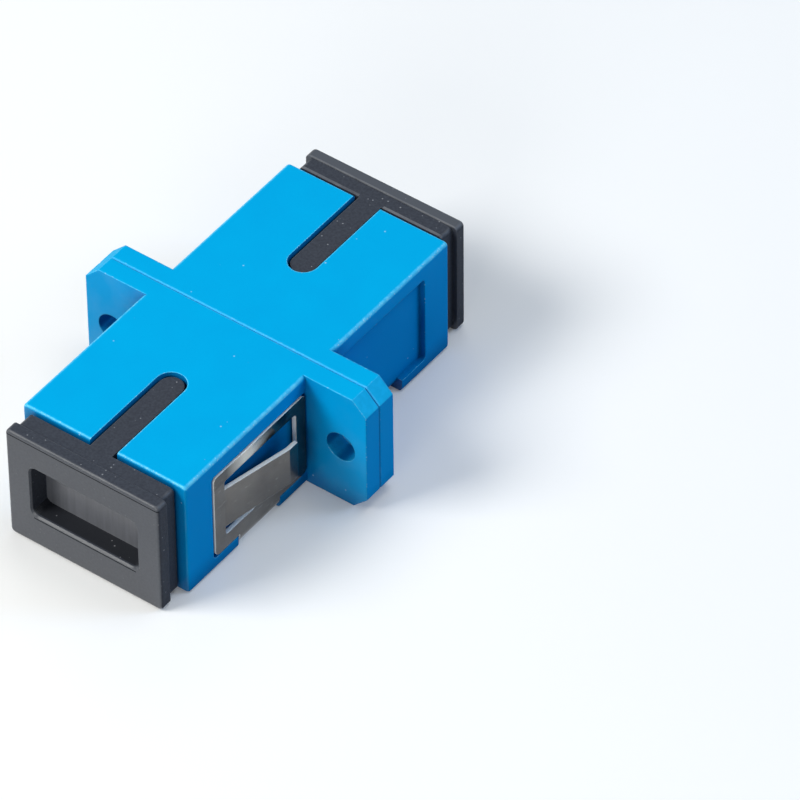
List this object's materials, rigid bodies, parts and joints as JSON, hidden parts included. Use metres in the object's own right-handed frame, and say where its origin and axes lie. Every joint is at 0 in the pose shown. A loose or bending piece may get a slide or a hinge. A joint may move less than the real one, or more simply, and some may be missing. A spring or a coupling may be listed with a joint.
{
  "type": "sc fibre adapter",
  "caption": "Simplex SC fibre optic bulkhead adapter with a flange, a sprung panel clip, latching ports for push-pull plugs and pull-out dust caps.",
  "frame": {"origin": "centre of the seam between the two halves of the flange, on the axis of the ports", "axes": "+Y along the port axis to the rear port, -Y out of the front port on the half that carries the panel clip, X across the ears, +Z towards the key slots"},
  "size_m": [0.022, 0.0318, 0.0092],
  "materials": {
    "housing_plastic": "smooth semi-gloss blue moulding",
    "insert_plastic": "natural moulding",
    "sleeve_ceramic": "ground white zirconia",
    "clip_steel": "bright rolled spring strip",
    "cap_plastic": "satin dark grey moulding"
  },
  "bodies": {
    "housing": {"front_housing": "housing_plastic", "rear_housing": "housing_plastic", "front_latch_insert": "insert_plastic", "rear_latch_insert": "insert_plastic", "split_sleeve": "sleeve_ceramic", "panel_clip": "clip_steel"},
    "front_cap": {"front_dust_cap": "cap_plastic"},
    "rear_cap": {"rear_dust_cap": "cap_plastic"}
  },
  "joints": [
    {"name": "front_cap_pull", "type": "slide", "parent": "housing", "child": "front_cap", "axis": [0, -1, 0], "range_m": [0, 0.03]},
    {"name": "rear_cap_pull", "type": "slide", "parent": "housing", "child": "rear_cap", "axis": [0, 1, 0], "range_m": [0, 0.03]}
  ]
}
